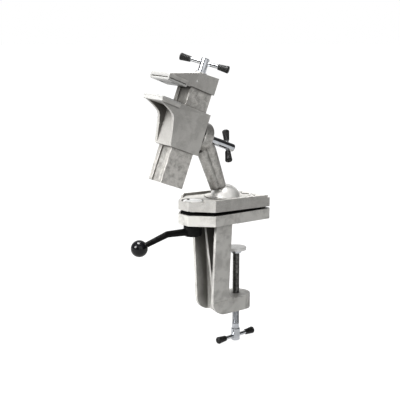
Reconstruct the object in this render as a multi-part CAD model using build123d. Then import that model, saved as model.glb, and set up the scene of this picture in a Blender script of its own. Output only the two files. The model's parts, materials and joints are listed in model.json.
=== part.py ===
from build123d import *
import os
from math import radians, tan

# Circuit board vise on a ball joint, with a table clamp. Sizes are in millimetres and degrees.
# Origin: the ball's vertical axis where it meets the underside of the lower plate.
# +Z is up, +X runs from the lever end to the throat's open side, -Y is the operator's side.
# Threads are plain cylinders at their major diameter.

# Fits
RUNNING = 0.05
SEATED = 0.02

# Plates of the ball clamp
PLATE_LEFT = -71.5
PLATE_RIGHT = 51.5
PLATE_HALF_WIDTH = 36.9
PLATE_SHOULDER = -45.5
PLATE_NOSE_HALF_WIDTH = 10.8
PLATE_CORNER_ROUNDING = 4.0
PLATE_CORNER_CUT = 3.0
LOWER_PLATE_HEIGHT = 14.2
UPPER_PLATE_HEIGHT = 16.0
UPPER_PLATE_LEAN = 1.27
PLATE_GAP_AT_SHOULDER = 5.0
RIM_HEIGHT = 3.7
RIM_THICKNESS = 3.2
RIM_LEFT = -55.4
RIM_RIGHT = 44.8
SEAL_HEIGHT = 1.8
SEAL_INSET = 3.0
SEAL_RIGHT = 39.0
SEAL_BALL_HOLE_RADIUS = 23.5

# Ball and its seats
BALL_RADIUS = 21.5
BALL_HEIGHT = 26.7
SOCKET_RADIUS = BALL_RADIUS + 2 * RUNNING
RING_RADIUS = 28.5
RING_HEIGHT = 1.5
SEAT_RADIUS = 25.0
SEAT_BOTTOM = 3.0
SEAT_TOP = 13.0
SEAT_OPENING_RADIUS = 8.0

# Fulcrum and its screws
FULCRUM_X = 45.0
FULCRUM_RADIUS = 2.5
FULCRUM_LENGTH = 60.0
PLATE_SCREW_X = 36.0
PLATE_SCREW_Y = 14.0
PLATE_SCREW_RADIUS = 2.5
PLATE_SCREW_HEAD_RADIUS = 4.3
PLATE_SCREW_HEAD_HEIGHT = 4.2
PLATE_SCREW_REACH = 24.0
RIGHT_POCKET_X = 39.5
RIGHT_POCKET_RADIUS = 8.5
RIGHT_POCKET_DEPTH = 1.2

# Lever, its stud and its knob
LEVER_X = -55.4
STUD_RADIUS = 4.0
STUD_HEAD_RADIUS = 13.2
STUD_HEAD_HEIGHT = 2.4
STUD_BOTTOM = -13.0
STUD_PIN_RADIUS = 1.8
STUD_PIN_X = LEVER_X - 1.5
STUD_PIN_Y = 8.0
STUD_PIN_LENGTH = 7.0
POCKET_RADIUS = 15.2
POCKET_FLOOR = 29.2
WASHER_HEIGHT = 1.5
HUB_RADIUS = 12.5
HUB_BOTTOM = -16.5
ARM_HEIGHT = -10.2
ARM_BEND_X = -97.0
ARM_BEND_HEIGHT = -9.0
ARM_ROOT_RADIUS = 5.2
ARM_BEND_RADIUS = 4.4
ARM_TIP_RADIUS = 3.5
KNOB_X = -141.0
KNOB_HEIGHT = -21.6
KNOB_RADIUS = 11.1

# Clamp frame below the lower plate
LEG_LEFT = -36.0
LEG_RIGHT = -9.0
LEG_BACK_WALL = -16.0
LEG_TOP_HALF_WIDTH = 27.0
FOOT_HALF_WIDTH = 20.0
WEB_THICKNESS = 4.5
FOOT_TOP = -109.0
FOOT_BOTTOM = -129.0
HEEL_RADIUS = 21.0
THROAT_RADIUS = 12.0
RIB_HALF_THICKNESS = 2.0
RIB_TOP_X = -35.2
RIB_FOOT_X = -20.0
POCKET_CORNER_RADIUS = 3.0
LEG_RELIEF_DEPTH = 0.3
LEG_RELIEF_MARGIN = 1.0

# Clamp screw and pad
SCREW_X = 20.5
SCREW_RADIUS = 5.0
PAD_RADIUS = 14.3
PAD_TOP = -42.8
PAD_HEIGHT = 4.0
COLLAR_RADIUS = 7.5
COLLAR_BOTTOM = -51.0
NECK_RADIUS = 3.5
NECK_TOP = -45.4
RING_GROOVE_Z = -49.0
RING_THICKNESS = 0.8
RING_INNER_RADIUS = 2.6
RING_OUTER_RADIUS = 4.4
SCREW_HEAD_RADIUS = 6.2
SCREW_HEAD_TOP = -161.0
SCREW_HEAD_BOTTOM = -178.5
CLAMP_BAR_Z = -172.4
CLAMP_BAR_LENGTH = 69.7
CLAMP_BAR_TURN = 5.0

# Tommy bars and their rubber caps
BAR_RADIUS = 2.7
CAP_LENGTH = 15.0
CAP_NECK_RADIUS = 3.9
CAP_END_RADIUS = 5.2
CAP_ROUNDING = 1.8
CAP_BORE_DEPTH = 12.0

# Head: its own frame has the sliding block's centre as origin, +X back towards the pivot, +Z up
HEAD_X = -71.4
HEAD_HEIGHT = 127.6
HEAD_LEAN = 20.35
HEAD_ROLL = 2.33
BLOCK_LENGTH = 46.4
BLOCK_WIDTH = 36.7
BLOCK_HEIGHT = 55.3
BLOCK_BACK = BLOCK_LENGTH / 2
BLOCK_FRONT = -BLOCK_LENGTH / 2
BLOCK_TOP = BLOCK_HEIGHT / 2

# Slide bar
SLIDE_FRONT = -18.2
SLIDE_BACK = 17.8
SLIDE_HALF_WIDTH = 14.6
SLIDE_BOTTOM = -74.9
GROOVE_HALF_WIDTH = 7.0
GROOVE_DEPTH = 2.2
CHANNEL_FRONT = -7.0
CHANNEL_HALF_WIDTH = 7.0
CHANNEL_TOP = 49.5
TENON_FRONT = -17.4
TENON_BACK = 14.5
TENON_HALF_WIDTH = 10.0
TENON_TOP = 66.7

# Jaws
JAW_HALF_WIDTH = 21.0
JAW_TIP_FRONT = -59.2
JAW_TIP_BACK = -28.9
JAW_PLATE_HEIGHT = 2.6
LOWER_JAW_FACE = 28.25
LOWER_TIP_BOTTOM = 21.35
LOWER_WEB_THICKNESS = 5.0
LOWER_WEB_FRONT = -56.5
LOWER_WEB_EDGE = [
    (-24.9, -21.0), (-29.2, -1.4), (-31.6, 7.4), (-34.2, 11.4), (-38.6, 14.2), (-45.4, 17.2),
    (LOWER_WEB_FRONT, LOWER_TIP_BOTTOM),
]
UPPER_JAW_FACE = 48.45
UPPER_TIP_TOP = 57.25
UPPER_BODY_HALF_WIDTH = 19.3
UPPER_BODY_BACK = 17.8
UPPER_BODY_BOTTOM = 52.75
UPPER_BODY_TOP = 75.4
RIDGE_X = -12.5
RIDGE_TOP = 73.0
JAW_PIN_RADIUS = 1.5
JAW_PIN_X = -14.5
JAW_PIN_Z = 61.5
JAW_FACE_CHAMFER = 1.0
JAW_SLOT_HEIGHT = 1.3
JAW_SLOT_DEPTH = 1.4
JAW_SLOT_MARGIN = 2.2
JAW_SCREW_X = -44.0
JAW_SCREW_Y = 13.0
JAW_SCREW_RADIUS = 2.0
JAW_SCREW_HEAD_RADIUS = 4.0
JAW_SCREW_HEAD_HEIGHT = 2.0
JAW_SCREW_LENGTH = 6.2

# Lead spindle
SPINDLE_X = 1.5
SPINDLE_RADIUS = 5.0
SPINDLE_BOTTOM = -60.0
SPINDLE_SEAT_RADIUS = 9.0
SPINDLE_SEAT_TOP = 75.8
SPINDLE_WASHER_RADIUS = 8.0
SPINDLE_HEAD_RADIUS = 5.6
SPINDLE_HEAD_BOTTOM = 77.0
SPINDLE_HEAD_TOP = 96.0
SPINDLE_BAR_Z = 90.0
SPINDLE_BAR_LENGTH = 67.5
SPINDLE_BAR_TURN = -47.7
SPINDLE_RING_TOP = CHANNEL_TOP - SEATED
SPINDLE_RING_THICKNESS = 1.2
SPINDLE_RING_RADIUS = 6.6
SPINDLE_GROOVE_RADIUS = 4.2
NUT_FRONT = -6.5
NUT_BACK = 20.9
NUT_HALF_WIDTH = 6.9
NUT_HALF_HEIGHT = 10.0

# Pivot between head and neck
PIVOT_WASHER_RADIUS = 15.0
PIVOT_WASHER_BACK = 24.4
BOSS_FRONT = 24.5
BOSS_BACK = 39.5
BOSS_RADIUS = 19.5
BOSS_ROUNDING = 2.0
LOCK_RADIUS = 5.0
LOCK_CLEARANCE = 0.35
LOCK_ROOM = 0.7
LOCK_TIP = 11.0
LOCK_BORE_END = 10.5
LOCK_WASHER_RADIUS = 8.6
LOCK_WASHER_FRONT = 39.55
LOCK_WASHER_BACK = 41.05
LOCK_FLANGE_RADIUS = 7.2
LOCK_FLANGE_BACK = 44.0
LOCK_ROD_RADIUS = 5.6
LOCK_ROD_BACK = 90.0
LOCK_BAR_X = 79.6
LOCK_BAR_LENGTH = 47.6
LOCK_BAR_LEAN = 33.7

# Neck: its own frame has the ball's centre as origin and +Z along the stem
NECK_LEAN = 24.7
NECK_FOOT = 17.0
STEM_RADIUS = 6.0
STEM_DEPTH = 12.0
BALL_FLAT = 20.0
BALL_GAP = 0.3
FRONT_LOBE_START = (-17.0, 0, 44.0)
FRONT_LOBE_END = (-40.5, 0, 98.0)
FRONT_LOBE_RADIUS = 7.6
BACK_LOBE_START = (-5.5, 0, 38.0)
BACK_LOBE_END = (-32.5, 0, 112.0)
BACK_LOBE_START_RADIUS = 8.0
BACK_LOBE_END_RADIUS = 9.2
LOBE_ROOT_RADIUS = 7.0

CENTRED_MIN = (Align.CENTER, Align.CENTER, Align.MIN)
HEAD = Location((HEAD_X, 0, HEAD_HEIGHT), (0, HEAD_LEAN, 0))
ROLLED_HEAD = HEAD * Rot(HEAD_ROLL, 0, 0)
NECK = Location((0, 0, BALL_HEIGHT), (0, -NECK_LEAN, 0))
UPPER_PLATE_BOTTOM = (
    LOWER_PLATE_HEIGHT + PLATE_GAP_AT_SHOULDER + PLATE_SHOULDER * tan(radians(UPPER_PLATE_LEAN))
)
UPPER_PLATE = Location((0, 0, UPPER_PLATE_BOTTOM), (0, UPPER_PLATE_LEAN, 0))
UPPER_FLOOR = UPPER_PLATE_HEIGHT - RIM_HEIGHT


def block(x_low, x_high, y_low, y_high, z_low, z_high):
    """Box between two corners."""
    centre = Pos((x_low + x_high) / 2, (y_low + y_high) / 2, (z_low + z_high) / 2)
    return centre * Box(x_high - x_low, y_high - y_low, z_high - z_low)


def round_bar(radius, z_low, z_high):
    """Cylinder along Z between two heights."""
    return Pos(0, 0, z_low) * Cylinder(radius, z_high - z_low, align=CENTRED_MIN)


def cross_bar(radius, x_low, x_high):
    """Cylinder along X between two places."""
    return Rot(0, 90, 0) * round_bar(radius, x_low, x_high)


def tapered_rod(start, end, start_radius, end_radius):
    """Cone from one point to another."""
    direction = Vector(*end) - Vector(*start)
    cone = Cone(start_radius, end_radius, direction.length, align=CENTRED_MIN)
    return Plane(origin=start, z_dir=direction) * cone


def side_shape(points, half_width):
    """Solid with its outline in the XZ plane, the same width each side of Y = 0."""
    outline = Plane.XZ * Polygon(*points, align=None)
    return extrude(outline, amount=half_width, both=True)


def end_cap(overall):
    """Rubber cap on the +X end of a tommy bar of this overall length."""
    start = overall / 2 - CAP_LENGTH
    cap = Pos(start, 0, 0) * Rot(0, 90, 0) * Cone(
        CAP_NECK_RADIUS, CAP_END_RADIUS, CAP_LENGTH, align=CENTRED_MIN
    )
    cap = fillet(cap.edges().group_by(Axis.X)[-1], CAP_ROUNDING)
    return cap - cross_bar(BAR_RADIUS, start - 1, start + CAP_BORE_DEPTH)


def tommy_bar(overall):
    """Bar along X, which ends inside its caps, and the two caps."""
    reach = overall / 2 - CAP_LENGTH + CAP_BORE_DEPTH - SEATED
    cap = end_cap(overall)
    return cross_bar(BAR_RADIUS, -reach, reach), cap + Rot(0, 0, 180) * cap


def countersunk_screw(clearance=0.0):
    """Screw with its head's face at Z = 0 and its shank downwards; a clearance makes its hole."""
    head = Pos(0, 0, -JAW_SCREW_HEAD_HEIGHT) * Cone(
        JAW_SCREW_RADIUS + clearance, JAW_SCREW_HEAD_RADIUS + clearance, JAW_SCREW_HEAD_HEIGHT,
        align=CENTRED_MIN,
    )
    shank = round_bar(JAW_SCREW_RADIUS + clearance, -JAW_SCREW_LENGTH - clearance, -JAW_SCREW_HEAD_HEIGHT)
    return head + shank


def hex_socket(across_corners_radius, depth):
    """Hexagonal recess that goes down from Z = 0."""
    return extrude(RegularPolygon(across_corners_radius, 6), amount=-depth)


def plate_outline(inset=0.0, right=PLATE_RIGHT):
    """Plan of both plates: a rectangle whose lever end narrows to a nose."""
    nose = PLATE_NOSE_HALF_WIDTH - inset * tan(radians(22.5))
    shoulder = PLATE_SHOULDER + inset * tan(radians(22.5))
    side = PLATE_HALF_WIDTH - inset
    left = PLATE_LEFT + inset
    outline = Polygon(
        (shoulder, -side), (right, -side), (right, side), (shoulder, side), (left, nose), (left, -nose),
        align=None,
    )
    outline = fillet(outline.vertices().group_by(Axis.X)[0], PLATE_CORNER_ROUNDING)
    return chamfer(outline.vertices().group_by(Axis.X)[-1], PLATE_CORNER_CUT)


def leg_taper(inset):
    """Wedge that narrows the leg from the plate to the foot, less an inset each side."""
    top = LEG_TOP_HALF_WIDTH - inset
    foot = FOOT_HALF_WIDTH - inset
    depth = FOOT_BOTTOM - 1
    outline = Polygon(
        (-top, LEG_RELIEF_DEPTH), (-foot, FOOT_TOP), (-foot, depth), (foot, depth), (foot, FOOT_TOP),
        (top, LEG_RELIEF_DEPTH),
        align=None,
    )
    return Pos(LEG_LEFT - 10, 0, 0) * extrude(Plane.YZ * outline, amount=SCREW_X - LEG_LEFT + 60)


def leg_pocket(side):
    """Hollow between the middle rib and one web, open towards the lever."""
    depth = FOOT_BOTTOM - 5
    far = side * LEG_TOP_HALF_WIDTH
    near = side * RIB_HALF_THICKNESS
    hollow = block(
        LEG_LEFT - 5, LEG_BACK_WALL, min(near, far), max(near, far), depth, LEG_RELIEF_DEPTH
    )
    hollow &= leg_taper(WEB_THICKNESS)
    corners = hollow.edges().filter_by(lambda edge: edge.length > -FOOT_TOP / 2).group_by(Axis.X)[-1]
    return fillet(corners, POCKET_CORNER_RADIUS)


def corners_at(sketch, x_place, y_place):
    """Corners of a sketch at one point."""
    return [
        corner for corner in sketch.vertices()
        if Vector(corner.X - x_place, corner.Y - y_place).length < SEATED
    ]


def lower_plate():
    """Lower plate, with a shallow relief round the leg's root so that the table meets a plain face."""
    relief = block(
        LEG_LEFT - LEG_RELIEF_MARGIN, LEG_RIGHT + LEG_RELIEF_MARGIN,
        -PLATE_HALF_WIDTH - 1, PLATE_HALF_WIDTH + 1, -1, LEG_RELIEF_DEPTH,
    )
    return extrude(plate_outline(), amount=LOWER_PLATE_HEIGHT) - relief


def clamp_frame():
    """Lower plate and the C-shaped leg and foot, in one casting."""
    top = LEG_RELIEF_DEPTH
    profile = Polygon(
        (LEG_LEFT, top), (LEG_LEFT, FOOT_BOTTOM), (SCREW_X, FOOT_BOTTOM), (SCREW_X, FOOT_TOP),
        (LEG_RIGHT, FOOT_TOP), (LEG_RIGHT, top), align=None,
    )
    profile = fillet(corners_at(profile, LEG_LEFT, FOOT_BOTTOM), HEEL_RADIUS)
    profile = fillet(corners_at(profile, LEG_RIGHT, FOOT_TOP), THROAT_RADIUS)
    leg = extrude(Plane.XZ * profile, amount=LEG_TOP_HALF_WIDTH + 1, both=True) & leg_taper(0)
    for side in (-1, 1):
        leg -= leg_pocket(side)
    rib_slope = side_shape(
        [(LEG_LEFT - 5, top), (RIB_TOP_X, top), (RIB_FOOT_X, FOOT_TOP), (LEG_BACK_WALL, FOOT_BOTTOM + 4),
         (LEG_BACK_WALL, FOOT_BOTTOM - 5), (LEG_LEFT - 5, FOOT_BOTTOM - 5)],
        RIB_HALF_THICKNESS + SEATED,
    )
    leg -= rib_slope
    foot_end = Pos(SCREW_X, 0, 0) * round_bar(FOOT_HALF_WIDTH, FOOT_BOTTOM, FOOT_TOP)
    casting = lower_plate() + leg + foot_end
    casting -= Pos(SCREW_X, 0, 0) * round_bar(SCREW_RADIUS + RUNNING, FOOT_BOTTOM - 1, FOOT_TOP + 1)
    casting -= round_bar(SEAT_RADIUS, SEAT_BOTTOM, LOWER_PLATE_HEIGHT + 1)
    casting -= Pos(LEVER_X, 0, 0) * round_bar(STUD_RADIUS + 4 * RUNNING, -1, LOWER_PLATE_HEIGHT + 1)
    casting -= fulcrum(SEATED)
    return casting - plate_screw_shanks(SEATED)


def fulcrum(clearance=0.0):
    """Round bar across the plates, on which the upper plate rocks."""
    radius = FULCRUM_RADIUS + clearance
    upper_bottom = UPPER_PLATE_BOTTOM - FULCRUM_X * tan(radians(UPPER_PLATE_LEAN))
    height = (LOWER_PLATE_HEIGHT + upper_bottom) / 2
    half_length = FULCRUM_LENGTH / 2 + clearance
    return Pos(FULCRUM_X, 0, height) * Rot(90, 0, 0) * round_bar(radius, -half_length, half_length)


def plate_screw_places():
    """Places of the two plate screws, on the floor of the upper plate."""
    return [UPPER_PLATE * Pos(PLATE_SCREW_X, side * PLATE_SCREW_Y, UPPER_FLOOR) for side in (-1, 1)]


def plate_screw_shanks(clearance):
    """Shanks of the two plate screws, or their holes with a clearance."""
    shank = round_bar(PLATE_SCREW_RADIUS + clearance, -PLATE_SCREW_REACH - clearance, 1)
    near, far = plate_screw_places()
    return near * shank + far * shank


def plate_screws():
    """Two socket screws that hold the upper plate down at the fulcrum end."""
    head = round_bar(PLATE_SCREW_HEAD_RADIUS, 0, PLATE_SCREW_HEAD_HEIGHT)
    head -= Pos(0, 0, PLATE_SCREW_HEAD_HEIGHT) * hex_socket(PLATE_SCREW_RADIUS, 2.5)
    screw = head + round_bar(PLATE_SCREW_RADIUS, -PLATE_SCREW_REACH, 0)
    near, far = plate_screw_places()
    return near * screw + far * screw


def ball_cavity():
    """Socket in the upper plate: round above the ball's middle and straight below it."""
    straight = round_bar(SOCKET_RADIUS, 0, BALL_HEIGHT)
    return Pos(0, 0, BALL_HEIGHT) * Sphere(SOCKET_RADIUS) + straight


def top_plate():
    """Upper plate with raised side rims, a ring round the ball and a pocket for the stud's head."""
    outline = plate_outline()
    rims = extrude(outline, amount=UPPER_PLATE_HEIGHT)
    rims -= extrude(plate_outline(RIM_THICKNESS), amount=30)
    span = block(RIM_LEFT, RIM_RIGHT, -PLATE_HALF_WIDTH, PLATE_HALF_WIDTH, UPPER_FLOOR - 1, 30)
    plate = extrude(outline, amount=UPPER_FLOOR) + (rims & span)
    plate += round_bar(RING_RADIUS, UPPER_FLOOR - 1, UPPER_FLOOR + RING_HEIGHT)
    right_pocket = round_bar(RIGHT_POCKET_RADIUS, UPPER_FLOOR - RIGHT_POCKET_DEPTH, 30)
    plate -= Pos(RIGHT_POCKET_X, 0, 0) * right_pocket
    plate = UPPER_PLATE * plate
    plate -= ball_cavity()
    plate -= Pos(LEVER_X, 0, 0) * round_bar(POCKET_RADIUS, POCKET_FLOOR, 60)
    plate -= Pos(LEVER_X, 0, 0) * round_bar(STUD_RADIUS + 4 * RUNNING, 0, 60)
    plate -= stud_pin(SEATED)
    plate -= fulcrum(SEATED)
    return plate - plate_screw_shanks(4 * RUNNING)


def gap_seal():
    """Rubber sheet on the lower plate that closes most of the gap."""
    sheet = extrude(plate_outline(SEAL_INSET, SEAL_RIGHT), amount=SEAL_HEIGHT)
    sheet = Pos(0, 0, LOWER_PLATE_HEIGHT) * sheet
    sheet -= round_bar(SEAL_BALL_HOLE_RADIUS, 0, 30)
    sheet -= Pos(LEVER_X, 0, 0) * round_bar(STUD_RADIUS + 4 * RUNNING, 0, 30)
    return sheet - plate_screw_shanks(4 * RUNNING)


def ball_seat():
    """Friction cup under the ball, free to turn in the lower plate."""
    cup = round_bar(SEAT_RADIUS - RUNNING, SEAT_BOTTOM + RUNNING, SEAT_TOP)
    cup -= Pos(0, 0, BALL_HEIGHT) * Sphere(SOCKET_RADIUS)
    return cup - round_bar(SEAT_OPENING_RADIUS, 0, SEAT_TOP)


def swivel_ball():
    """Polished ball with a flat and a bore for the neck's stem."""
    ball = Sphere(BALL_RADIUS) & block(-30, 30, -30, 30, -30, BALL_FLAT)
    return NECK * (ball - round_bar(STEM_RADIUS + RUNNING, BALL_FLAT - STEM_DEPTH - RUNNING, 30))


def stud_pin(clearance=0.0):
    """Small pin that stops the stud's head from turning."""
    pin = round_bar(STUD_PIN_RADIUS + clearance, POCKET_FLOOR - STUD_PIN_LENGTH - clearance,
                    POCKET_FLOOR + STUD_HEAD_HEIGHT + 1)
    return Pos(STUD_PIN_X, STUD_PIN_Y, 0) * pin


def lever_stud():
    """Flat-headed stud that pulls the plates together."""
    head = round_bar(STUD_HEAD_RADIUS, POCKET_FLOOR, POCKET_FLOOR + STUD_HEAD_HEIGHT)
    head = chamfer(head.edges().group_by(Axis.Z)[-1], 0.6)
    stud = head + round_bar(STUD_RADIUS, STUD_BOTTOM, POCKET_FLOOR)
    return Pos(LEVER_X, 0, 0) * stud - stud_pin(SEATED)


def lever_washer():
    """Thrust washer between the lever's hub and the lower plate."""
    washer = round_bar(HUB_RADIUS + 0.3, -WASHER_HEIGHT - RUNNING, -RUNNING)
    return Pos(LEVER_X, 0, 0) * (washer - round_bar(STUD_RADIUS + RUNNING, -10, 1))


def lever_arm():
    """Tapered arm that bends down towards the knob."""
    root = (LEVER_X - HUB_RADIUS / 2, 0, ARM_HEIGHT)
    bend = (ARM_BEND_X, 0, ARM_BEND_HEIGHT)
    tip = (KNOB_X, 0, KNOB_HEIGHT)
    arm = tapered_rod(root, bend, ARM_ROOT_RADIUS, ARM_BEND_RADIUS)
    arm += Pos(*bend) * Sphere(ARM_BEND_RADIUS)
    return arm + tapered_rod(bend, tip, ARM_BEND_RADIUS, ARM_TIP_RADIUS)


def clamp_lever():
    """Lever whose hub is the nut of the stud."""
    hub = round_bar(HUB_RADIUS, HUB_BOTTOM, -WASHER_HEIGHT - 2 * RUNNING)
    hub = fillet(hub.edges().group_by(Axis.Z)[0], 2.0)
    lever = Pos(LEVER_X, 0, 0) * hub + lever_arm()
    return lever - Pos(LEVER_X, 0, 0) * round_bar(STUD_RADIUS + RUNNING, STUD_BOTTOM - 0.5, 1)


def lever_knob():
    """Ball knob on the end of the arm."""
    return Pos(KNOB_X, 0, KNOB_HEIGHT) * Sphere(KNOB_RADIUS) - lever_arm()


def clamp_pad():
    """Swivelling pressure pad with a collar for the screw's neck."""
    disc = round_bar(PAD_RADIUS, PAD_TOP - PAD_HEIGHT, PAD_TOP)
    disc = chamfer(disc.edges().group_by(Axis.Z)[-1], 0.5)
    pad = disc + round_bar(COLLAR_RADIUS, COLLAR_BOTTOM, PAD_TOP - PAD_HEIGHT)
    pad -= round_bar(NECK_RADIUS + RUNNING, COLLAR_BOTTOM - 1, NECK_TOP + RUNNING)
    groove_top = RING_GROOVE_Z + RING_THICKNESS + SEATED
    groove = round_bar(RING_OUTER_RADIUS + SEATED, RING_GROOVE_Z - SEATED, groove_top)
    return Pos(SCREW_X, 0, 0) * (pad - groove)


def pad_ring():
    """Retaining ring that keeps the pad on the screw."""
    ring = round_bar(RING_OUTER_RADIUS, RING_GROOVE_Z, RING_GROOVE_Z + RING_THICKNESS)
    return Pos(SCREW_X, 0, 0) * (ring - round_bar(RING_INNER_RADIUS, -100, 0))


def clamp_screw():
    """Table clamp screw with a cross-drilled head."""
    screw = round_bar(SCREW_RADIUS, SCREW_HEAD_TOP, COLLAR_BOTTOM - RUNNING)
    screw += round_bar(NECK_RADIUS, COLLAR_BOTTOM - RUNNING, NECK_TOP)
    slot_low = RING_GROOVE_Z - RUNNING
    slot = round_bar(NECK_RADIUS + 1, slot_low, slot_low + RING_THICKNESS + 2 * RUNNING)
    screw -= slot - round_bar(RING_INNER_RADIUS - RUNNING, -100, 0)
    head = round_bar(SCREW_HEAD_RADIUS, SCREW_HEAD_BOTTOM, SCREW_HEAD_TOP)
    head = chamfer(head.edges().group_by(Axis.Z)[0] + head.edges().group_by(Axis.Z)[-1], 0.8)
    hole = Pos(0, 0, CLAMP_BAR_Z) * Rot(0, 0, CLAMP_BAR_TURN) * cross_bar(BAR_RADIUS, -20, 20)
    return Pos(SCREW_X, 0, 0) * (screw + head - hole)


def slide_tunnel():
    """Space in the block for the slide bar, with running clearance."""
    return block(SLIDE_FRONT - RUNNING, SLIDE_BACK + RUNNING, -SLIDE_HALF_WIDTH - RUNNING,
                 SLIDE_HALF_WIDTH + RUNNING, -100, 100)


def lower_bracket():
    """Two side webs under the lower jaw's tip, with a hollow between them."""
    side = BLOCK_WIDTH / 2
    web = side_shape(
        [(BLOCK_FRONT, -BLOCK_TOP)] + LOWER_WEB_EDGE
        + [(LOWER_WEB_FRONT, LOWER_TIP_BOTTOM + 1), (BLOCK_FRONT, LOWER_TIP_BOTTOM + 1)],
        side,
    )
    hollow = block(
        JAW_TIP_FRONT, BLOCK_FRONT, LOWER_WEB_THICKNESS - side, side - LOWER_WEB_THICKNESS,
        -BLOCK_TOP - 1, LOWER_TIP_BOTTOM,
    )
    tip = block(JAW_TIP_FRONT, JAW_TIP_BACK, -JAW_HALF_WIDTH, JAW_HALF_WIDTH, LOWER_TIP_BOTTOM,
                LOWER_JAW_FACE - JAW_PLATE_HEIGHT)
    deck = block(JAW_TIP_BACK, BLOCK_FRONT, -side, side, LOWER_TIP_BOTTOM, BLOCK_TOP)
    return web - hollow + tip + deck


def jaw_screw_places(face, upside_down):
    """Places of the two screws on a jaw's clamping face."""
    turn = Rot(180, 0, 0) if upside_down else Rot(0, 0, 0)
    return [Pos(JAW_SCREW_X, side * JAW_SCREW_Y, face) * turn for side in (-1, 1)]


def jaw_screw_holes(face, upside_down):
    """Countersunk holes for both screws of a jaw."""
    near, far = jaw_screw_places(face, upside_down)
    return near * countersunk_screw(SEATED) + far * countersunk_screw(SEATED)


def jaw_screws(face, upside_down):
    """Both screws of a jaw, with their heads flush with the face."""
    screw = countersunk_screw() - hex_socket(1.5, 1.3)
    near, far = jaw_screw_places(face, upside_down)
    return ROLLED_HEAD * (near * screw + far * screw)


def vise_body():
    """Sliding block with the lower jaw's bracket on its front."""
    body = block(BLOCK_FRONT, BLOCK_BACK, -BLOCK_WIDTH / 2, BLOCK_WIDTH / 2, -BLOCK_TOP, BLOCK_TOP)
    body += lower_bracket()
    body -= slide_tunnel()
    body -= block(0, NUT_BACK + SEATED, -NUT_HALF_WIDTH - SEATED, NUT_HALF_WIDTH + SEATED,
                  -NUT_HALF_HEIGHT - SEATED, NUT_HALF_HEIGHT + SEATED)
    body -= cross_bar(LOCK_RADIUS + RUNNING, 0, BLOCK_BACK + 1)
    return ROLLED_HEAD * (body - jaw_screw_holes(LOWER_JAW_FACE, False))


def jaw_plate(face, upside_down):
    """Hardened plate on a jaw's clamping face."""
    back_face = face + JAW_PLATE_HEIGHT if upside_down else face - JAW_PLATE_HEIGHT
    low = min(face, back_face)
    high = low + JAW_PLATE_HEIGHT
    plate = block(JAW_TIP_FRONT, JAW_TIP_BACK, -JAW_HALF_WIDTH, JAW_HALF_WIDTH, low, high)
    clamping_side = 0 if upside_down else -1
    plate = chamfer(plate.edges().group_by(Axis.Z)[clamping_side], JAW_FACE_CHAMFER)
    return ROLLED_HEAD * (plate - jaw_screw_holes(face, upside_down))


def spindle_nut():
    """Nut fixed in the block's back wall, reaching into the slide bar's channel."""
    nut = block(NUT_FRONT, NUT_BACK, -NUT_HALF_WIDTH, NUT_HALF_WIDTH, -NUT_HALF_HEIGHT, NUT_HALF_HEIGHT)
    nut -= Pos(SPINDLE_X, 0, 0) * round_bar(SPINDLE_RADIUS + RUNNING, -20, 20)
    return ROLLED_HEAD * (nut - cross_bar(LOCK_RADIUS + RUNNING, LOCK_BORE_END, 30))


def pivot_washer():
    """Friction washer between the block and the neck's boss."""
    washer = cross_bar(PIVOT_WASHER_RADIUS, BLOCK_BACK + SEATED, PIVOT_WASHER_BACK)
    return ROLLED_HEAD * (washer - cross_bar(LOCK_RADIUS + LOCK_CLEARANCE, 0, 60))


def slide_bar():
    """Upper jaw's sliding bar: grooved in front and channelled behind for the spindle."""
    side = SLIDE_HALF_WIDTH
    bar = block(SLIDE_FRONT, SLIDE_BACK, -side, side, SLIDE_BOTTOM, UPPER_BODY_BOTTOM)
    bar = chamfer(bar.edges().filter_by(Axis.Z), 0.6)
    groove_floor = SLIDE_FRONT + GROOVE_DEPTH
    bar -= block(SLIDE_FRONT - 1, groove_floor, -GROOVE_HALF_WIDTH, GROOVE_HALF_WIDTH, -100, 100)
    channel_side = CHANNEL_HALF_WIDTH
    bar -= block(CHANNEL_FRONT, SLIDE_BACK + 1, -channel_side, channel_side, -100, CHANNEL_TOP)
    bar += tenon(0)
    bar -= Pos(SPINDLE_X, 0, 0) * round_bar(SPINDLE_RADIUS + RUNNING, 0, 100)
    return ROLLED_HEAD * (bar - jaw_pin_raw(SEATED))


def tenon(clearance):
    """Reduced top of the slide bar, or its socket in the jaw with a clearance."""
    return block(TENON_FRONT - clearance, TENON_BACK + clearance, -TENON_HALF_WIDTH - clearance,
                 TENON_HALF_WIDTH + clearance, UPPER_BODY_BOTTOM, TENON_TOP + clearance)


def jaw_pin_raw(clearance, half_length=UPPER_BODY_HALF_WIDTH - 0.4):
    """Cross pin through the upper jaw and the tenon, in the head's own frame."""
    pin = Rot(90, 0, 0) * round_bar(JAW_PIN_RADIUS + clearance, -half_length, half_length)
    return Pos(JAW_PIN_X, 0, JAW_PIN_Z) * pin


def jaw_slot():
    """Shallow slot round the upper jaw's tip, between it and its plate."""
    low = UPPER_JAW_FACE + JAW_PLATE_HEIGHT
    side = JAW_HALF_WIDTH
    high = low + JAW_SLOT_HEIGHT
    front = JAW_TIP_FRONT + JAW_SLOT_DEPTH
    left = JAW_TIP_FRONT + JAW_SLOT_MARGIN
    right = JAW_TIP_BACK - JAW_SLOT_MARGIN
    reach = side - JAW_SLOT_MARGIN
    slot = block(JAW_TIP_FRONT - 1, front, -reach, reach, low, high)
    slot += block(left, right, -side - 1, JAW_SLOT_DEPTH - side, low, high)
    return slot + block(left, right, side - JAW_SLOT_DEPTH, side + 1, low, high)


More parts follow.
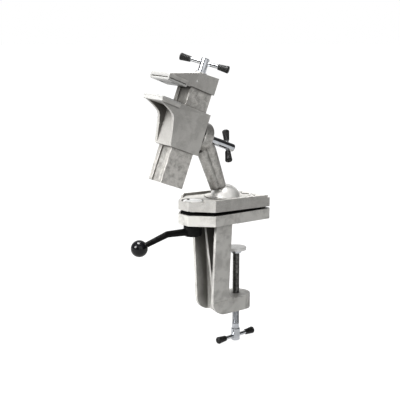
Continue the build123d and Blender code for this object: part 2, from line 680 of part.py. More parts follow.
def upper_jaw():
    """Moving jaw: a wedge-shaped arm on the slide bar and a wider tip."""
    tip_bottom = UPPER_JAW_FACE + JAW_PLATE_HEIGHT
    arm = side_shape(
        [(UPPER_BODY_BACK, UPPER_BODY_BOTTOM), (UPPER_BODY_BACK, UPPER_BODY_TOP), (RIDGE_X, RIDGE_TOP),
         (JAW_TIP_FRONT + 1.5, UPPER_TIP_TOP), (JAW_TIP_FRONT + 1.5, tip_bottom),
         (SLIDE_FRONT - 6, tip_bottom), (SLIDE_FRONT - 2, UPPER_BODY_BOTTOM)],
        UPPER_BODY_HALF_WIDTH,
    )
    side = JAW_HALF_WIDTH
    jaw = arm + block(JAW_TIP_FRONT, JAW_TIP_BACK, -side, side, tip_bottom, UPPER_TIP_TOP)
    jaw += Pos(SPINDLE_X, 0, 0) * round_bar(SPINDLE_SEAT_RADIUS, TENON_TOP + 1, SPINDLE_SEAT_TOP)
    jaw -= tenon(SEATED)
    jaw -= Pos(SPINDLE_X, 0, 0) * round_bar(SPINDLE_RADIUS + RUNNING, 0, 100)
    jaw -= jaw_pin_raw(SEATED, JAW_HALF_WIDTH + 1)
    jaw -= jaw_slot()
    return ROLLED_HEAD * (jaw - jaw_screw_holes(UPPER_JAW_FACE, True))


def jaw_pin():
    """Cross pin that holds the upper jaw on the slide bar."""
    return ROLLED_HEAD * jaw_pin_raw(0)


def lead_spindle():
    """Spindle that moves the upper jaw, held in it by its head and a ring."""
    ring_bottom = SPINDLE_RING_TOP - SPINDLE_RING_THICKNESS
    rod = round_bar(SPINDLE_RADIUS, SPINDLE_BOTTOM, SPINDLE_HEAD_BOTTOM)
    groove = round_bar(SPINDLE_RADIUS + 1, ring_bottom - SEATED, SPINDLE_RING_TOP + SEATED)
    rod -= groove - round_bar(SPINDLE_GROOVE_RADIUS - SEATED, 0, 100)
    head = round_bar(SPINDLE_HEAD_RADIUS, SPINDLE_HEAD_BOTTOM, SPINDLE_HEAD_TOP)
    head = chamfer(head.edges().group_by(Axis.Z)[-1], 0.8)
    hole = Pos(0, 0, SPINDLE_BAR_Z) * Rot(0, 0, SPINDLE_BAR_TURN) * cross_bar(BAR_RADIUS, -20, 20)
    return ROLLED_HEAD * Pos(SPINDLE_X, 0, 0) * (rod + head - hole)


def spindle_washer():
    """Thrust washer under the spindle's head."""
    washer = round_bar(SPINDLE_WASHER_RADIUS, SPINDLE_SEAT_TOP + RUNNING, SPINDLE_HEAD_BOTTOM - SEATED)
    return ROLLED_HEAD * Pos(SPINDLE_X, 0, 0) * (washer - round_bar(SPINDLE_RADIUS + SEATED, 0, 100))


def spindle_ring():
    """Retaining ring under the bar's closed top."""
    ring_bottom = SPINDLE_RING_TOP - SPINDLE_RING_THICKNESS
    ring = round_bar(SPINDLE_RING_RADIUS, ring_bottom, SPINDLE_RING_TOP - RUNNING)
    return ROLLED_HEAD * Pos(SPINDLE_X, 0, 0) * (ring - round_bar(SPINDLE_GROOVE_RADIUS, 0, 100))


def neck():
    """Rough-cast neck: two lobes from the ball to the pivot boss."""
    body = tapered_rod(FRONT_LOBE_START, FRONT_LOBE_END, LOBE_ROOT_RADIUS, FRONT_LOBE_RADIUS)
    body += tapered_rod(BACK_LOBE_START, BACK_LOBE_END, BACK_LOBE_START_RADIUS, BACK_LOBE_END_RADIUS)
    boss = cross_bar(BOSS_RADIUS, BOSS_FRONT, BOSS_BACK)
    boss = fillet(boss.edges().group_by(Axis.X)[-1], BOSS_ROUNDING)
    inside_boss = HEAD * block(BLOCK_BACK - 30, BOSS_FRONT, -50, 50, -60, 60)
    behind_boss = HEAD * cross_bar(LOCK_WASHER_RADIUS + LOCK_ROOM, BOSS_BACK - 1, BOSS_BACK + 30)
    foot_cut = NECK * (Sphere(BALL_RADIUS + BALL_GAP) + block(-40, 40, -40, 40, -40, NECK_FOOT))
    stem = NECK * round_bar(STEM_RADIUS, BALL_FLAT - STEM_DEPTH, BALL_RADIUS + 6)
    body = body - inside_boss - behind_boss - foot_cut + stem
    body += HEAD * boss
    return body - HEAD * cross_bar(LOCK_RADIUS + LOCK_CLEARANCE, 0, 60)


def lock_washer():
    """Washer between the lock screw's flange and the boss."""
    washer = cross_bar(LOCK_WASHER_RADIUS, LOCK_WASHER_FRONT, LOCK_WASHER_BACK)
    return ROLLED_HEAD * (washer - cross_bar(LOCK_RADIUS + LOCK_CLEARANCE, 0, 60))


def lock_screw():
    """Pivot lock screw: thread into the nut, flange and long cross-drilled rod."""
    screw = cross_bar(LOCK_RADIUS, LOCK_TIP, LOCK_WASHER_BACK + RUNNING)
    screw += cross_bar(LOCK_FLANGE_RADIUS, LOCK_WASHER_BACK + RUNNING, LOCK_FLANGE_BACK)
    rod = cross_bar(LOCK_ROD_RADIUS, LOCK_FLANGE_BACK, LOCK_ROD_BACK)
    rod = chamfer(rod.edges().group_by(Axis.X)[-1], 0.8)
    hole = Pos(LOCK_BAR_X, 0, 0) * Rot(-LOCK_BAR_LEAN, 0, 0) * round_bar(BAR_RADIUS, -20, 20)
    return ROLLED_HEAD * (screw + rod - hole)


def placed(frame, shapes):
    """The same frame applied to a bar and to its caps."""
    return [frame * shape for shape in shapes]


CLAMP_BAR_PLACE = Pos(SCREW_X, 0, CLAMP_BAR_Z) * Rot(0, 0, CLAMP_BAR_TURN)
SPINDLE_BAR_PLACE = ROLLED_HEAD * Pos(SPINDLE_X, 0, SPINDLE_BAR_Z) * Rot(0, 0, SPINDLE_BAR_TURN)
LOCK_BAR_PLACE = ROLLED_HEAD * Pos(LOCK_BAR_X, 0, 0) * Rot(-LOCK_BAR_LEAN, 0, 0) * Rot(0, -90, 0)
clamp_bar, clamp_caps = placed(CLAMP_BAR_PLACE, tommy_bar(CLAMP_BAR_LENGTH))
spindle_bar, spindle_caps = placed(SPINDLE_BAR_PLACE, tommy_bar(SPINDLE_BAR_LENGTH))
lock_bar, lock_caps = placed(LOCK_BAR_PLACE, tommy_bar(LOCK_BAR_LENGTH))

NODES = {
    "clamp_frame": clamp_frame(),
    "gap_seal": gap_seal(),
    "top_plate": top_plate(),
    "fulcrum_pin": fulcrum(),
    "plate_screws": plate_screws(),
    "lever_stud": lever_stud(),
    "stud_pin": stud_pin(),
    "lever_washer": lever_washer(),
    "clamp_lever": clamp_lever(),
    "lever_knob": lever_knob(),
    "ball_seat": ball_seat(),
    "swivel_ball": swivel_ball(),
    "neck": neck(),
    "vise_body": vise_body(),
    "lower_jaw_plate": jaw_plate(LOWER_JAW_FACE, False),
    "lower_jaw_screws": jaw_screws(LOWER_JAW_FACE, False),
    "spindle_nut": spindle_nut(),
    "pivot_washer": pivot_washer(),
    "lock_washer": lock_washer(),
    "lock_screw": lock_screw(),
    "lock_tommy_bar": lock_bar,
    "lock_bar_caps": lock_caps,
    "slide_bar": slide_bar(),
    "upper_jaw": upper_jaw(),
    "upper_jaw_plate": jaw_plate(UPPER_JAW_FACE, True),
    "upper_jaw_screws": jaw_screws(UPPER_JAW_FACE, True),
    "jaw_pin": jaw_pin(),
    "lead_spindle": lead_spindle(),
    "spindle_washer": spindle_washer(),
    "spindle_ring": spindle_ring(),
    "spindle_tommy_bar": spindle_bar,
    "spindle_bar_caps": spindle_caps,
    "clamp_pad": clamp_pad(),
    "pad_ring": pad_ring(),
    "clamp_screw": clamp_screw(),
    "clamp_tommy_bar": clamp_bar,
    "clamp_bar_caps": clamp_caps,
}

os.makedirs("parts", exist_ok=True)
for name, shape in NODES.items():
    export_step(shape, f"parts/{name}.step")
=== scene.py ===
import json
import math

import bmesh
import bpy
from mathutils import Matrix, Vector, noise


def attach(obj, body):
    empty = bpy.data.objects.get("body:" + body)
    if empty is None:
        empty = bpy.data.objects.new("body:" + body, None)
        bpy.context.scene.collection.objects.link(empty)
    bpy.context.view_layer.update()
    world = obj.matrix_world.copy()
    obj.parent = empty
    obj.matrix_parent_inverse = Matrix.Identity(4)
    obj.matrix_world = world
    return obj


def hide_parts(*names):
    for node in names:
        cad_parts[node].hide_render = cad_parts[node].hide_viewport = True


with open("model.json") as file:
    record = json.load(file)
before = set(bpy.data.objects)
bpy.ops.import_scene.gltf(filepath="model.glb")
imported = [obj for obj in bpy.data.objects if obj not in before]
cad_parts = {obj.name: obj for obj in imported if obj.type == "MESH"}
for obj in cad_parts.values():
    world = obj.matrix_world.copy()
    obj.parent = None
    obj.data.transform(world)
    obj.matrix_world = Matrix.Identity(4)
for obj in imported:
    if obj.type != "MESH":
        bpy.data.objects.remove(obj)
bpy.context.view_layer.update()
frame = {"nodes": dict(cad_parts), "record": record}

# Sizes are in millimetres until a mesh is scaled to metres on its way into the scene.
MM = 0.001
NODES = frame["nodes"]
BODY_OF = {
    node: body
    for body, nodes in frame["record"]["behaviour"]["bodies"].items()
    for node in nodes
}
SLOT_OF = {part["node"]: part["material_slot"] for part in frame["record"]["subparts"]}


def turned(degrees, axis):
    """Rotation matrix about one axis."""
    return Matrix.Rotation(math.radians(degrees), 4, axis)


# Frames of the CAD model: the vise head, the three screws and their tommy bars
HEAD = Matrix.Translation((-71.4, 0, 127.6)) @ turned(20.35, "Y") @ turned(2.33, "X")
SCREW_X = 20.5
SPINDLE_X = 1.5
CLAMP_SCREW = Matrix.Translation((SCREW_X, 0, 0))
SPINDLE = HEAD @ Matrix.Translation((SPINDLE_X, 0, 0))
ALONG_X = turned(90, "Y")
LOCK_SCREW = HEAD @ ALONG_X
CLAMP_BAR = Matrix.Translation((SCREW_X, 0, -172.4)) @ turned(5, "Z")
SPINDLE_BAR = HEAD @ Matrix.Translation((SPINDLE_X, 0, 90)) @ turned(-47.7, "Z")
LOCK_BAR = HEAD @ Matrix.Translation((79.6, 0, 0)) @ turned(-33.7, "X") @ turned(-90, "Y")

# Threads
THREAD_PITCH = 1.5
THREAD_CREST = 4.97
THREAD_ROOT = 4.2
THREAD_STEPS_ROUND = 36
THREAD_ROWS_PER_PITCH = 8

# Tommy bars, overall, and their caps
CLAMP_BAR_LENGTH = 69.7
SPINDLE_BAR_LENGTH = 67.5
LOCK_BAR_LENGTH = 47.6
CAP_LENGTH = 15.0
CAP_FLUTES = 14
CAP_FLUTE_DEPTH = 0.16

# Knob and the arm that it sits on
KNOB_RADIUS = 11.1
KNOB_CENTRE = Vector((-141.0, 0, -21.6))
ARM_BEND = Vector((-97.0, 0, -9.0))

# The jaws' tips in the head's frame, and the underside of the pad's disc
TIP_FRONT_X = -56.5
TIP_BOTTOM_Z = 20
PAD_DISC_BOTTOM = -46.6


# Materials

def link(tree, source, target):
    tree.links.new(source, target)


def noise_node(tree, coordinates, size_mm, detail=3.0, roughness=0.55, distortion=0.0):
    """Noise whose features are about this many millimetres across."""
    node = tree.nodes.new("ShaderNodeTexNoise")
    node.inputs["Scale"].default_value = 1 / (size_mm * MM)
    node.inputs["Detail"].default_value = detail
    node.inputs["Roughness"].default_value = roughness
    node.inputs["Distortion"].default_value = distortion
    link(tree, coordinates, node.inputs["Vector"])
    return node.outputs["Fac"]


def ramp(tree, value, low, high, low_value=0.0, high_value=1.0):
    """Maps a value smoothly from one range to another."""
    node = tree.nodes.new("ShaderNodeMapRange")
    node.interpolation_type = "SMOOTHSTEP"
    node.inputs["From Min"].default_value = low
    node.inputs["From Max"].default_value = high
    node.inputs["To Min"].default_value = low_value
    node.inputs["To Max"].default_value = high_value
    link(tree, value, node.inputs["Value"])
    return node.outputs["Result"]


def mix(tree, factor, first, second):
    """Mixes two colours by a factor; each may be a constant or a socket."""
    node = tree.nodes.new("ShaderNodeMix")
    node.data_type = "RGBA"
    link(tree, factor, node.inputs["Factor"])
    for socket, colour in ((node.inputs[6], first), (node.inputs[7], second)):
        if isinstance(colour, tuple):
            socket.default_value = (*colour, 1)
        else:
            link(tree, colour, socket)
    return node.outputs[2]


def bump(tree, height, depth_mm, normal=None):
    """Bump of a real depth, on top of another one if given."""
    node = tree.nodes.new("ShaderNodeBump")
    node.inputs["Strength"].default_value = 1.0
    node.inputs["Distance"].default_value = depth_mm * MM
    link(tree, height, node.inputs["Height"])
    if normal is not None:
        link(tree, normal, node.inputs["Normal"])
    return node.outputs["Normal"]


def stretched(tree, coordinates, stretch):
    """Coordinates scaled along each axis, for brushed marks."""
    node = tree.nodes.new("ShaderNodeMapping")
    node.inputs["Scale"].default_value = stretch
    link(tree, coordinates, node.inputs["Vector"])
    return node.outputs["Vector"]


# How far the painted shade in recesses reaches, in millimetres
PAINTED_SHADE_REACH = 34


def surface(name, dark, light, metallic, rough, grain_mm, mottle_mm, depth_mm,
            worn=None, speckle=0.0, stretch=(1, 1, 1), contrast=0.2, coarse_mm=0.0,
            painted_recess_shade=None, gloss=0.5):
    """Metal, paint or rubber: mottled colour, fine grain, speckles, worn edges and painted shade in
    recesses.
    """
    material = bpy.data.materials.new(name)
    material.use_nodes = True
    tree = material.node_tree
    shader = tree.nodes["Principled BSDF"]
    shader.inputs["Metallic"].default_value = metallic
    shader.inputs["Specular IOR Level"].default_value = gloss
    place = tree.nodes.new("ShaderNodeTexCoord").outputs["Object"]
    place = stretched(tree, place, stretch)
    grain = noise_node(tree, place, grain_mm, 4.0, 0.6)
    mottle = noise_node(tree, place, mottle_mm, 3.0, 0.6, 0.3)
    colour = mix(tree, ramp(tree, mottle, 0.5 - contrast, 0.5 + contrast), dark, light)
    if speckle:
        specks = noise_node(tree, place, grain_mm * 0.8, 1.0, 0.5)
        shade = tuple(channel * 0.45 for channel in dark)
        glint = tuple(min(1.0, channel * 1.45) for channel in light)
        colour = mix(tree, ramp(tree, specks, 0.56, 0.68, 0.0, speckle), colour, shade)
        colour = mix(tree, ramp(tree, specks, 0.44, 0.32, 0.0, speckle), colour, glint)
    roughness = ramp(tree, grain, 0.3, 0.7, rough[0], rough[1])
    if worn is not None:
        edges = tree.nodes.new("ShaderNodeNewGeometry").outputs["Pointiness"]
        patchy = ramp(tree, mottle, 0.35, 0.6, 0.3, 1.0)
        wear = tree.nodes.new("ShaderNodeMath")
        wear.operation = "MULTIPLY"
        link(tree, ramp(tree, edges, 0.52, 0.6), wear.inputs[0])
        link(tree, patchy, wear.inputs[1])
        colour = mix(tree, wear.outputs[0], colour, worn)
    # Painted shade: ambient occlusion darkens the colour towards a shade colour in recesses and between
    # parts
    if painted_recess_shade is not None:
        recess = tree.nodes.new("ShaderNodeAmbientOcclusion")
        recess.inputs["Distance"].default_value = PAINTED_SHADE_REACH * MM
        recess.samples = 8
        colour = mix(tree, ramp(tree, recess.outputs["AO"], 0.84, 0.38), colour, painted_recess_shade)
    normal = bump(tree, grain, depth_mm)
    if coarse_mm:
        normal = bump(tree, mottle, coarse_mm, normal)
    link(tree, colour, shader.inputs["Base Color"])
    link(tree, roughness, shader.inputs["Roughness"])
    link(tree, normal, shader.inputs["Normal"])
    return material


# Colours are linear. After the name come: dark, light, metallic, roughness range, grain, mottle, depth.
# CAST, ROUGH and STEEL get painted shade in their recesses
CAST = surface("cast_silver", (0.37, 0.36, 0.34), (0.41, 0.4, 0.38), 0.2, (0.44, 0.58), 0.8, 14, 0.05,
               worn=(0.6, 0.59, 0.56), speckle=0.5, contrast=0.25, painted_recess_shade=(0.1, 0.095, 0.085))
ROUGH = surface("as_cast_silver", (0.27, 0.263, 0.245), (0.5, 0.485, 0.46), 0.55, (0.32, 0.5), 1.0, 7, 0.08,
                worn=(0.6, 0.58, 0.55), speckle=0.45, contrast=0.2, coarse_mm=0.15,
                painted_recess_shade=(0.12, 0.115, 0.105))
STEEL = surface("ground_steel", (0.3, 0.295, 0.285), (0.38, 0.375, 0.365), 0.4, (0.3, 0.44), 0.4, 6, 0.006,
                worn=(0.62, 0.62, 0.6), stretch=(1, 8, 8), painted_recess_shade=(0.1, 0.095, 0.085))
# Turned steel whose light colour is partly its own and partly painted reflection of the light from above and
# behind
TURNED_STEEL_PAINTED_SHEEN = surface("turned_steel_painted_sheen", (0.74, 0.735, 0.72), (0.86, 0.855, 0.84), 0.2, (0.26, 0.42),
                 0.5, 6, 0.006, worn=(0.92, 0.92, 0.9))
# Ball steel whose light, half-diffuse colour is partly painted reflection of the light from above
BALL_STEEL_PAINTED_SHEEN = surface("polished_ball_painted_sheen", (0.62, 0.61, 0.59), (0.8, 0.79, 0.76), 0.5, (0.38, 0.46), 3, 11, 0.002,
               worn=(0.85, 0.85, 0.83))
CHROME = surface("bright_chrome", (0.34, 0.352, 0.37), (0.46, 0.475, 0.5), 1.0, (0.08, 0.14), 2.0, 12, 0.003,
                 worn=(0.5, 0.5, 0.5))
THREAD = surface("threaded_steel", (0.05, 0.049, 0.046), (0.13, 0.128, 0.122), 1.0, (0.24, 0.4),
                 0.8, 5, 0.01, worn=(0.5, 0.5, 0.48), speckle=0.3)
BLACK = surface("black_oxide", (0.003, 0.003, 0.003), (0.008, 0.008, 0.008), 0.0, (0.3, 0.42), 0.8, 7, 0.02,
                worn=(0.012, 0.012, 0.012), gloss=0.06)
# Near-black sheet in the gap between the plates: painted shadow of the gap
GAP_PAINTED_SHADOW = surface("gap_painted_shadow", (0.002, 0.002, 0.002), (0.004, 0.004, 0.004), 0.0, (0.6, 0.8), 0.6, 5, 0.02,
               worn=(0.006, 0.006, 0.006), gloss=0.05)
KNOB = surface("gloss_black_plastic", (0.002, 0.002, 0.003), (0.005, 0.005, 0.006), 0.0, (0.06, 0.12),
               1.5, 8, 0.006, worn=(0.008, 0.008, 0.008), gloss=0.22)
RUBBER = surface("black_cap_rubber", (0.003, 0.003, 0.003), (0.008, 0.008, 0.0075), 0.0, (0.34, 0.5),
                 0.5, 5, 0.03, worn=(0.02, 0.02, 0.02), gloss=0.2)
BRASS = surface("turned_brass", (0.55, 0.4, 0.16), (0.72, 0.55, 0.25), 1.0, (0.22, 0.4), 0.6, 5, 0.01,
                worn=(0.85, 0.7, 0.4), stretch=(1, 1, 6))
SLOT_MATERIALS = {
    "cast_grey": CAST, "rough_cast": ROUGH, "jaw_steel": STEEL, "bright_steel": CHROME,
    "black_steel": BLACK, "knob_black": KNOB, "cap_rubber": RUBBER, "nut_brass": BRASS,
}
# The gap sheet's black is painted shadow; the ball, stud, pins and screws take steels whose light colour is
# partly painted reflection
NODE_MATERIALS = {
    "swivel_ball": BALL_STEEL_PAINTED_SHEEN, "lever_stud": TURNED_STEEL_PAINTED_SHEEN, "stud_pin": BLACK, "gap_seal": GAP_PAINTED_SHADOW,
    "jaw_pin": TURNED_STEEL_PAINTED_SHEEN, "plate_screws": TURNED_STEEL_PAINTED_SHEEN,
}


# Meshes

SHARP_ANGLE = 32


def cad_mesh(node):
    """The node's CAD mesh in millimetres, welded, with flat areas as single faces."""
    mesh = bmesh.new()
    mesh.from_mesh(NODES[node].data)
    bmesh.ops.scale(mesh, vec=(1 / MM,) * 3, verts=mesh.verts)
    bmesh.ops.remove_doubles(mesh, verts=mesh.verts, dist=0.002)
    bmesh.ops.dissolve_limit(
        mesh, angle_limit=math.radians(0.8), verts=mesh.verts, edges=mesh.edges,
        use_dissolve_boundaries=False,
    )
    return mesh


def round_edges(mesh, width):
    """Rounds every sharp edge, by real faces."""
    limit = math.radians(SHARP_ANGLE)
    sharp = [
        edge for edge in mesh.edges
        if len(edge.link_faces) == 2 and edge.calc_face_angle(0) > limit
    ]
    bmesh.ops.bevel(
        mesh, geom=sharp, offset=width, offset_type="OFFSET", segments=2, profile=0.5,
        affect="EDGES", clamp_overlap=True, loop_slide=True,
    )
    return mesh


def cut_away(mesh, matrix, height, keep_above):
    """Keeps what lies above or below a height in a frame, and closes the cut."""
    normal = matrix.to_3x3() @ Vector((0, 0, 1))
    result = bmesh.ops.bisect_plane(
        mesh, geom=mesh.verts[:] + mesh.edges[:] + mesh.faces[:], dist=0.001,
        plane_co=matrix @ Vector((0, 0, height)), plane_no=normal,
        clear_inner=keep_above, clear_outer=not keep_above,
    )
    rim = [item for item in result["geom_cut"] if isinstance(item, bmesh.types.BMEdge)]
    bmesh.ops.holes_fill(mesh, edges=rim)
    return mesh


def lathed(rows, steps, matrix, radius_at=None):
    """Closed surface of revolution through rows of (height, radius), placed by a matrix."""
    mesh = bmesh.new()
    rings = []
    for height, radius in rows:
        ring = []
        for step in range(steps):
            angle = 2 * math.pi * step / steps
            reach = radius if radius_at is None else radius_at(height, angle, radius)
            ring.append(mesh.verts.new(matrix @ Vector(
                (reach * math.cos(angle), reach * math.sin(angle), height)
            )))
        rings.append(ring)
    for lower, upper in zip(rings, rings[1:]):
        for step in range(steps):
            after = (step + 1) % steps
            mesh.faces.new((lower[step], lower[after], upper[after], upper[step]))
    mesh.faces.new(list(reversed(rings[0])))
    mesh.faces.new(rings[-1])
    bmesh.ops.recalc_face_normals(mesh, faces=mesh.faces)
    return mesh


def threaded(low, high, matrix, bright_below=-math.inf):
    """Right-hand threaded rod with a run-out at each end, and its bright finish below a height."""
    def radius_at(height, angle, radius):
        phase = (height / THREAD_PITCH - angle / (2 * math.pi)) % 1
        flank = min(max(abs(phase - 0.5) * 3.2 - 0.3, 0), 1)
        run_out = min(1, (height - low) / THREAD_PITCH, (high - height) / THREAD_PITCH)
        return THREAD_ROOT + (THREAD_CREST - THREAD_ROOT) * (1 - flank) * max(run_out, 0)
    count = int((high - low) / THREAD_PITCH * THREAD_ROWS_PER_PITCH)
    rows = [(low + (high - low) * step / count, THREAD_ROOT) for step in range(count + 1)]
    mesh = lathed(rows, THREAD_STEPS_ROUND, matrix, radius_at)
    back = matrix.inverted()
    for face in mesh.faces:
        height = (back @ face.calc_center_median()).z
        face.material_index = 0 if height < bright_below else 1
    return mesh


def joined(*meshes):
    """One mesh made of several."""
    whole = bmesh.new()
    for mesh in meshes:
        data = bpy.data.meshes.new("part")
        mesh.to_mesh(data)
        whole.from_mesh(data)
        bpy.data.meshes.remove(data)
        mesh.free()
    return whole


def add_piece(node, mesh, materials, smooth_angle=40):
    """Puts a mesh in the scene in place of one CAD node, on that node's body."""
    bmesh.ops.scale(mesh, vec=(MM,) * 3, verts=mesh.verts)
    data = bpy.data.meshes.new(f"{node}_look")
    mesh.to_mesh(data)
    mesh.free()
    for material in materials:
        data.materials.append(material)
    data.shade_smooth()
    data.set_sharp_from_angle(angle=math.radians(smooth_angle))
    piece = bpy.data.objects.new(f"{node}_look", data)
    bpy.context.scene.collection.objects.link(piece)
    weighted = piece.modifiers.new("even_shading", "WEIGHTED_NORMAL")
    weighted.keep_sharp = True
    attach(piece, BODY_OF[node])
    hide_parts(node)
    return piece


def remeshed(mesh, matrix, voxel, smoothing):
    """Evenly meshed copy whose inner corners run into each other, made in its own frame."""
    bmesh.ops.transform(mesh, matrix=matrix.inverted(), verts=mesh.verts)
    data = bpy.data.meshes.new("even")
    mesh.to_mesh(data)
    mesh.free()
    holder = bpy.data.objects.new("even", data)
    bpy.context.scene.collection.objects.link(holder)
    even = holder.modifiers.new("even", "REMESH")
    even.mode = "VOXEL"
    even.voxel_size = voxel
    soft = holder.modifiers.new("soft", "SMOOTH")
    soft.iterations = smoothing
    soft.factor = 0.5
    graph = bpy.context.evaluated_depsgraph_get()
    result = bpy.data.meshes.new_from_object(holder.evaluated_get(graph))
    fresh = bmesh.new()
    fresh.from_mesh(result)
    bpy.data.objects.remove(holder)
    bpy.data.meshes.remove(result)
    bmesh.ops.transform(fresh, matrix=matrix, verts=fresh.verts)
    return fresh


def roughened(mesh, sizes_and_depths):
    """Casting's uneven skin: each point goes in, never out, by a sum of noises."""
    mesh.normal_update()
    moves = []
    for vert in mesh.verts:
        depth = 0.0
        for size, deep in sizes_and_depths:
            depth += deep * (0.5 + 0.5 * noise.noise(vert.co / size))
        moves.append(vert.normal * -depth)
    for vert, move in zip(mesh.verts, moves):
        vert.co += move
    return mesh


# Castings, plates and small parts: CAD shapes with rounded edges

def ground_tip(mesh):
    """Gives a jaw's front edge the ground finish of its plate, which is its second material."""
    back = HEAD.inverted()
    for face in mesh.faces:
        centre = back @ face.calc_center_median()
        if centre.x < TIP_FRONT_X and centre.z > TIP_BOTTOM_Z:
            face.material_index = 1


ROUNDED = {
    "clamp_frame": 0.5, "top_plate": 0.4, "vise_body": 0.4, "upper_jaw": 0.4, "slide_bar": 0.3,
    "lower_jaw_plate": 0.15, "upper_jaw_plate": 0.15, "gap_seal": 0.3, "ball_seat": 0.4,
    "swivel_ball": 0.4, "lever_stud": 0.3, "lever_washer": 0.2,
    "plate_screws": 0.2, "lower_jaw_screws": 0.1, "upper_jaw_screws": 0.1, "spindle_nut": 0.3,
    "pivot_washer": 0.2, "lock_washer": 0.2, "spindle_washer": 0.15, "spindle_ring": 0.1,
    "pad_ring": 0.08, "jaw_pin": 0.2, "fulcrum_pin": 0.3, "stud_pin": 0.2,
    "clamp_tommy_bar": 0.3, "spindle_tommy_bar": 0.3, "lock_tommy_bar": 0.3,
}
for node, width in ROUNDED.items():
    materials = [NODE_MATERIALS.get(node, SLOT_MATERIALS[SLOT_OF[node]])]
    mesh = round_edges(cad_mesh(node), width)
    if node in ("vise_body", "upper_jaw"):
        ground_tip(mesh)
        materials.append(STEEL)
    add_piece(node, mesh, materials)


# Pressure pad: ground disc, its light colour partly painted reflection, on a bright collar

pad = round_edges(cad_mesh("clamp_pad"), 0.3)
for face in pad.faces:
    face.material_index = 1 if face.calc_center_median().z < PAD_DISC_BOTTOM else 0
add_piece("clamp_pad", pad, [TURNED_STEEL_PAINTED_SHEEN, CHROME])


# Neck and lever: a rough casting and a smooth forging, whose parts run into each other

neck = remeshed(cad_mesh("neck"), HEAD, 0.6, 14)
add_piece("neck", roughened(neck, [(7, 0.2), (2.2, 0.1)]), [ROUGH], 60)
lever = remeshed(cad_mesh("clamp_lever"), Matrix.Identity(4), 0.5, 8)
add_piece("clamp_lever", roughened(lever, [(9, 0.12)]), [BLACK], 60)


# Screws: real threads on the shafts, and the cross-drilled heads from CAD

CLAMP_THREAD = (-155, -51.2)
CLAMP_HEAD_CUT = -154
CLAMP_NECK_CUT = -51.5
CLAMP_BRIGHT_BELOW = -130
SPINDLE_THREAD = (-60, 46)
SPINDLE_HEAD_CUT = 45
LOCK_THREAD = (11, 31)
LOCK_HEAD_CUT = 30

clamp_head = cut_away(cad_mesh("clamp_screw"), CLAMP_SCREW, CLAMP_HEAD_CUT, False)
clamp_neck = cut_away(cad_mesh("clamp_screw"), CLAMP_SCREW, CLAMP_NECK_CUT, True)
clamp_thread = threaded(*CLAMP_THREAD, CLAMP_SCREW, CLAMP_BRIGHT_BELOW)
add_piece("clamp_screw", joined(round_edges(clamp_head, 0.4), clamp_neck, clamp_thread), [CHROME, THREAD])
for node, matrix, cut, thread in (
    ("lead_spindle", SPINDLE, SPINDLE_HEAD_CUT, SPINDLE_THREAD),
    ("lock_screw", LOCK_SCREW, LOCK_HEAD_CUT, LOCK_THREAD),
):
    head = round_edges(cut_away(cad_mesh(node), matrix, cut, True), 0.3)
    add_piece(node, joined(head, threaded(*thread, matrix)), [CHROME, THREAD])


# Rubber caps: tapered, fluted and closed by a rounded end with a dimple

def cap(length, matrix):
    """One cap on the +X end of a bar of this overall length."""
    rows = [
        (0, 3.2), (0.05, 3.6), (0.45, 3.85), (1.2, 3.92), (1.5, 3.7), (1.9, 3.7), (2.2, 4.0), (4.5, 4.15),
        (7, 4.35), (9.5, 4.6), (11.5, 4.8), (12.6, 4.95), (13.3, 4.98), (14.0, 4.75), (14.5, 4.35),
        (14.82, 3.8), (14.95, 3.0), (14.95, 2.2), (14.6, 1.4), (14.5, 0.6),
    ]

    def radius_at(height, angle, radius):
        strength = min(1, max(0, (height - 2.2) / 1.5)) * min(1, max(0, (13.2 - height) / 1.5))
        return radius - CAP_FLUTE_DEPTH * strength * (1 - math.cos(CAP_FLUTES * angle))
    start = length / 2 - CAP_LENGTH
    return lathed(rows, 84, matrix @ Matrix.Translation((start, 0, 0)) @ ALONG_X, radius_at)


for node, length, matrix in (
    ("clamp_bar_caps", CLAMP_BAR_LENGTH, CLAMP_BAR),
    ("spindle_bar_caps", SPINDLE_BAR_LENGTH, SPINDLE_BAR),
    ("lock_bar_caps", LOCK_BAR_LENGTH, LOCK_BAR),
):
    add_piece(node, joined(cap(length, matrix), cap(length, matrix @ turned(180, "Z"))), [RUBBER], 50)


# Knob: moulded ball with a parting line, and a shallow ring and flat on its outer end

def knob():
    """Ball whose axis runs along the arm, away from its bend."""
    rows = []
    for step in range(1, 64):
        angle = math.pi * step / 64
        groove = 0.1 * math.exp(-((angle - math.pi / 2) / 0.02) ** 2)
        ring = 0.25 * math.exp(-((angle - 2.78) / 0.04) ** 2)
        reach = KNOB_RADIUS - 0.04 - groove - ring
        height = min(-reach * math.cos(angle), KNOB_RADIUS * 0.985)
        rows.append((height, reach * math.sin(angle)))
    away = (KNOB_CENTRE - ARM_BEND).to_track_quat("Z", "Y").to_matrix().to_4x4()
    return lathed(rows, 72, Matrix.Translation(KNOB_CENTRE) @ away)


add_piece("lever_knob", knob(), [KNOB], 60)


# Floor, light and camera, in metres

MIDDLE = Vector((-0.03, 0, 0.02))
FLOOR_RADIUS = 90
FLOOR_HEIGHT = -0.1795
FLOOR_GLOW = 0.93

FLOOR = surface("pale_floor", (0.07, 0.07, 0.07), (0.09, 0.09, 0.09), 0.0, (0.6, 0.75), 3, 60, 0.01)
floor_mesh = bmesh.new()
bmesh.ops.create_circle(floor_mesh, cap_ends=True, segments=96, radius=FLOOR_RADIUS)
floor_data = bpy.data.meshes.new("floor")
floor_mesh.to_mesh(floor_data)
floor_mesh.free()
floor_data.materials.append(FLOOR)
glow = FLOOR.node_tree.nodes["Principled BSDF"]
glow.inputs["Emission Color"].default_value = (1, 1, 1, 1)
glow.inputs["Emission Strength"].default_value = FLOOR_GLOW
floor = bpy.data.objects.new("floor", floor_data)
floor.location = (0, 0, FLOOR_HEIGHT)
bpy.context.scene.collection.objects.link(floor)
floor.visible_diffuse = False


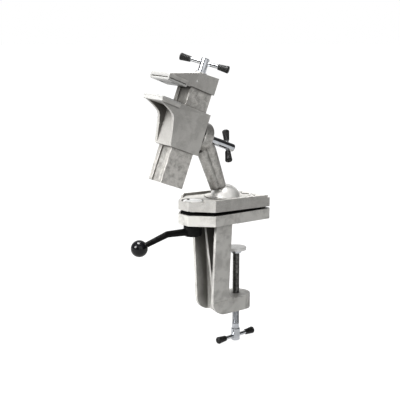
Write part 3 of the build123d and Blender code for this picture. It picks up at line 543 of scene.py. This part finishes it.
def area_light(name, place, size, watts):
    """Soft rectangular light aimed at the middle of the vise."""
    lamp = bpy.data.lights.new(name, "AREA")
    lamp.shape = "RECTANGLE"
    lamp.size, lamp.size_y = size
    lamp.energy = watts
    holder = bpy.data.objects.new(name, lamp)
    holder.location = place
    holder.rotation_euler = (MIDDLE - Vector(place)).to_track_quat("-Z", "Y").to_euler()
    bpy.context.scene.collection.objects.link(holder)


area_light("left_key", (-1.85, 0.1, 0.95), (0.9, 0.9), 62)
area_light("overhead", (-0.25, 0.2, 1.9), (0.9, 0.9), 84)
area_light("front_fill", (-0.5, -1.6, 0.7), (1.7, 1.4), 10)


def grey(level):
    """Neutral colour."""
    return (level, level, level)


def along(tree, direction, axis):
    """How far a direction points along a level axis, from -1 to 1."""
    product = tree.nodes.new("ShaderNodeVectorMath")
    product.operation = "DOT_PRODUCT"
    product.inputs[1].default_value = axis
    link(tree, direction, product.inputs[0])
    return product.outputs["Value"]


def studio_world():
    """Grey room, white behind the object, dark at the camera and on the right, seen as pure white."""
    world = bpy.data.worlds.new("studio")
    world.use_nodes = True
    tree = world.node_tree
    direction = tree.nodes.new("ShaderNodeTexCoord").outputs["Generated"]
    towards_camera = along(tree, direction, (-0.61, -0.79, 0.0))
    towards_right = along(tree, direction, (0.95, -0.31, 0.0))
    room = mix(tree, ramp(tree, towards_camera, -0.55, -0.8), grey(0.33), grey(1.0))
    room = mix(tree, ramp(tree, towards_camera, 0.78, 0.95), room, grey(0.02))
    room = mix(tree, ramp(tree, towards_right, 0.45, 0.85), room, grey(0.05))
    seen = tree.nodes.new("ShaderNodeLightPath").outputs["Is Camera Ray"]
    link(tree, mix(tree, seen, room, grey(1.0)), tree.nodes["Background"].inputs["Color"])
    return world


bpy.context.scene.world = studio_world()

CAMERA_HEADING = -37.5
CAMERA_TILT_DOWN = 10.6
camera_data = bpy.data.cameras.new("camera")
camera_data.lens = 76.5
camera_data.sensor_width = 36
camera_data.clip_start, camera_data.clip_end = 0.05, 200
camera = bpy.data.objects.new("camera", camera_data)
camera.location = (-0.723, -0.886, 0.2396)
camera.rotation_euler = (math.radians(90 - CAMERA_TILT_DOWN), 0, math.radians(CAMERA_HEADING))
bpy.context.scene.collection.objects.link(camera)
bpy.context.scene.camera = camera
bpy.context.scene.view_settings.view_transform = "Standard"
